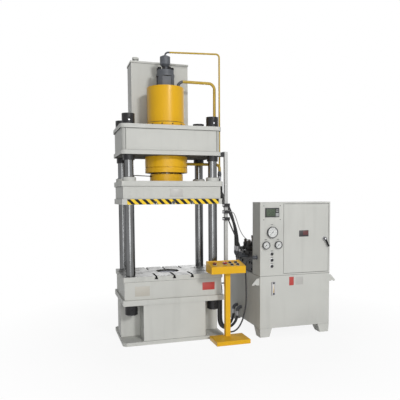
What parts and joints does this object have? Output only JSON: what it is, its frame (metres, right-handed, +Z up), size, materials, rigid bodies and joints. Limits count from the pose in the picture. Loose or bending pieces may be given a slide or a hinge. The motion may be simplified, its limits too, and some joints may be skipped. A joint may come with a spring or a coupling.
{
  "type": "hydraulic press",
  "caption": "Four-column hydraulic press with T-slotted table, guided slide, overhead cylinder and tank, power unit with control cabinet, and a push-button pedestal.",
  "frame": {"origin": "on the floor, under the axis of the ram, at the middle of the bed's underside", "axes": "+Z up along the ram, +X to the right towards the power unit, -Y to the front"},
  "size_m": [2.505, 1.234, 3.296],
  "materials": {
    "grey_paint": "satin light warm grey paint",
    "yellow_paint": "gloss yellow paint",
    "machined_steel": "ground",
    "chrome": "hard chromed and polished",
    "black_steel": "blackened",
    "dark_iron": "dark painted casting",
    "black_plastic": "matte",
    "red_plastic": "gloss",
    "hose_rubber": "smooth hose cover"
  },
  "bodies": {
    "frame": {"base_plate": "grey_paint", "bed_core": "grey_paint", "bed_sides": "grey_paint", "bed_box": "grey_paint", "table_plate": "machined_steel", "columns": "chrome", "column_nuts": "black_steel", "upper_beam": "grey_paint", "main_cylinder": "yellow_paint", "cylinder_gland": "yellow_paint", "cylinder_ring_nut": "yellow_paint", "prefill_valve": "dark_iron", "overhead_tank": "grey_paint", "overhead_tank_lid": "grey_paint", "oil_pipes": "yellow_paint", "hose_fittings": "dark_iron", "sensor_pole": "grey_paint", "pole_brackets": "black_steel", "proximity_sensors": "machined_steel", "ejector_cylinder": "dark_iron", "oil_tank": "grey_paint", "oil_level_gauge": "machined_steel", "manifold_block": "dark_iron", "solenoid_valves": "dark_iron", "electric_motor": "dark_iron", "hydraulic_pump": "dark_iron", "control_cabinet": "grey_paint", "electrical_panel": "machined_steel", "display_unit": "black_plastic", "pressure_gauges": "chrome", "button_collars": "black_plastic", "pedestal_stand": "yellow_paint", "console_box": "yellow_paint", "pressure_hose": "hose_rubber", "return_hose": "hose_rubber", "pilot_hose": "hose_rubber", "ejector_hose_1": "hose_rubber", "ejector_hose_2": "hose_rubber", "sensor_cable": "hose_rubber", "pedestal_cable": "hose_rubber"},
    "slide": {"slide_body": "grey_paint", "guide_bushes": "grey_paint", "main_ram": "chrome", "ram_flange": "yellow_paint", "target_plate": "black_steel"},
    "ejector": {"ejector_ram": "chrome"},
    "door": {"cabinet_door": "grey_paint"},
    "handle": {"door_handle": "black_steel"},
    "main_gauge_needle_body": {"main_gauge_needle": "black_steel"},
    "left_gauge_needle_body": {"left_gauge_needle": "black_steel"},
    "right_gauge_needle_body": {"right_gauge_needle": "black_steel"},
    "panel_button_top_body": {"panel_button_top": "black_plastic"},
    "panel_button_middle_body": {"panel_button_middle": "black_plastic"},
    "panel_button_bottom_body": {"panel_button_bottom": "black_plastic"},
    "palm_button_body": {"palm_button": "red_plastic"},
    "emergency_stop_body": {"emergency_stop": "red_plastic"},
    "console_button_1_body": {"console_button_1": "black_plastic"},
    "console_button_2_body": {"console_button_2": "black_plastic"},
    "console_button_3_body": {"console_button_3": "black_plastic"},
    "console_button_4_body": {"console_button_4": "black_plastic"}
  },
  "joints": [
    {"name": "slide_travel", "type": "slide", "parent": "frame", "child": "slide", "axis": [0, 0, -1], "range_m": [0, 0.6]},
    {"name": "ejector_travel", "type": "slide", "parent": "frame", "child": "ejector", "axis": [0, 0, 1], "range_m": [0, 0.2]},
    {"name": "door_hinge", "type": "hinge", "parent": "frame", "child": "door", "pos_m": [1.261, -0.528, 1.139], "axis": [0, 0, -1], "range_deg": [0, 110]},
    {"name": "handle_turn", "type": "hinge", "parent": "door", "child": "handle", "pos_m": [1.784, -0.546, 1.127], "axis": [0, 1, 0], "range_deg": [0, 90]},
    {"name": "main_gauge_needle_turn", "type": "hinge", "parent": "frame", "child": "main_gauge_needle_body", "pos_m": [1.105, -0.559, 1.219], "axis": [0, 1, 0], "range_deg": [0, 270], "stiffness_Nm_per_rad": 0.0005},
    {"name": "left_gauge_needle_turn", "type": "hinge", "parent": "frame", "child": "left_gauge_needle_body", "pos_m": [1.0285, -0.559, 1.073], "axis": [0, 1, 0], "range_deg": [0, 270], "stiffness_Nm_per_rad": 0.0005},
    {"name": "right_gauge_needle_turn", "type": "hinge", "parent": "frame", "child": "right_gauge_needle_body", "pos_m": [1.1815, -0.559, 1.073], "axis": [0, 1, 0], "range_deg": [0, 270], "stiffness_Nm_per_rad": 0.0005},
    {"name": "panel_button_top_push", "type": "slide", "parent": "frame", "child": "panel_button_top_body", "axis": [0, 1, 0], "range_m": [0, 0.004], "stiffness_N_per_m": 1000},
    {"name": "panel_button_middle_push", "type": "slide", "parent": "frame", "child": "panel_button_middle_body", "axis": [0, 1, 0], "range_m": [0, 0.004], "stiffness_N_per_m": 1000},
    {"name": "panel_button_bottom_push", "type": "slide", "parent": "frame", "child": "panel_button_bottom_body", "axis": [0, 1, 0], "range_m": [0, 0.004], "stiffness_N_per_m": 1000},
    {"name": "palm_button_push", "type": "slide", "parent": "frame", "child": "palm_button_body", "axis": [0, 0.1943, -0.9809], "range_m": [0, 0.004], "stiffness_N_per_m": 1000},
    {"name": "emergency_stop_push", "type": "slide", "parent": "frame", "child": "emergency_stop_body", "axis": [0, 0.1943, -0.9809], "range_m": [0, 0.004], "stiffness_N_per_m": 1000},
    {"name": "console_button_1_push", "type": "slide", "parent": "frame", "child": "console_button_1_body", "axis": [0, 0.1943, -0.9809], "range_m": [0, 0.004], "stiffness_N_per_m": 1000},
    {"name": "console_button_2_push", "type": "slide", "parent": "frame", "child": "console_button_2_body", "axis": [0, 0.1943, -0.9809], "range_m": [0, 0.004], "stiffness_N_per_m": 1000},
    {"name": "console_button_3_push", "type": "slide", "parent": "frame", "child": "console_button_3_body", "axis": [0, 0.1943, -0.9809], "range_m": [0, 0.004], "stiffness_N_per_m": 1000},
    {"name": "console_button_4_push", "type": "slide", "parent": "frame", "child": "console_button_4_body", "axis": [0, 0.1943, -0.9809], "range_m": [0, 0.004], "stiffness_N_per_m": 1000}
  ]
}
